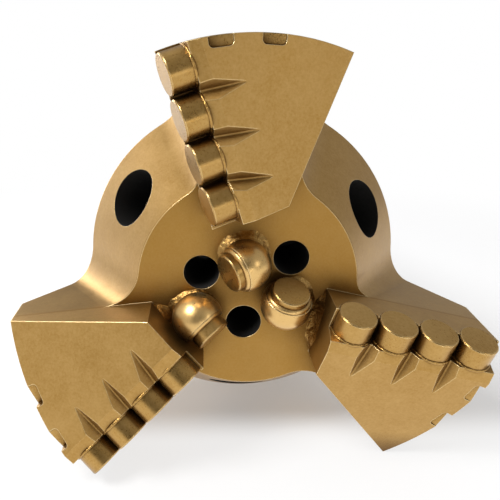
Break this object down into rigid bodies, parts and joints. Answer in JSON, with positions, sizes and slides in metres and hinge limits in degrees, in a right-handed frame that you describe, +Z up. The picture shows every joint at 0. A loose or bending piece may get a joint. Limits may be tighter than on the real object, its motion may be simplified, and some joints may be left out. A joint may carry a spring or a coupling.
{
  "type": "pdc drill bit",
  "caption": "Short steel drag bit with wings of polycrystalline diamond cutters, ball-backed centre cutters, water courses and a tapered pin shank, painted gold.",
  "frame": {"origin": "centre of the make-up shoulder, where the pin begins", "axes": "the bit lies on its side: +Y along the axis out of the pin, -Y out of the cutting face, +Z up, +X to the right seen on the face"},
  "size_m": [0.1694, 0.2213, 0.1537],
  "materials": {
    "body": "satin gold paint over steel",
    "carrier": "satin gold paint over steel",
    "cutter": "satin gold paint over carbide and diamond",
    "insert": "satin gold paint over carbide"
  },
  "bodies": {
    "root": {"ball_carrier_1": "carrier", "ball_carrier_2": "carrier", "ball_carrier_3": "carrier", "bit_body": "body", "centre_cutter_1": "cutter", "centre_cutter_2": "cutter", "centre_cutter_3": "cutter", "gauge_insert_1_1": "insert", "gauge_insert_1_2": "insert", "gauge_insert_2_1": "insert", "gauge_insert_2_2": "insert", "gauge_insert_3_1": "insert", "gauge_insert_3_2": "insert", "wing_1_cutter_1": "cutter", "wing_1_cutter_2": "cutter", "wing_1_cutter_3": "cutter", "wing_1_cutter_4": "cutter", "wing_2_cutter_1": "cutter", "wing_2_cutter_2": "cutter", "wing_2_cutter_3": "cutter", "wing_2_cutter_4": "cutter", "wing_3_cutter_1": "cutter", "wing_3_cutter_2": "cutter", "wing_3_cutter_3": "cutter", "wing_3_cutter_4": "cutter"}
  },
  "joints": []
}
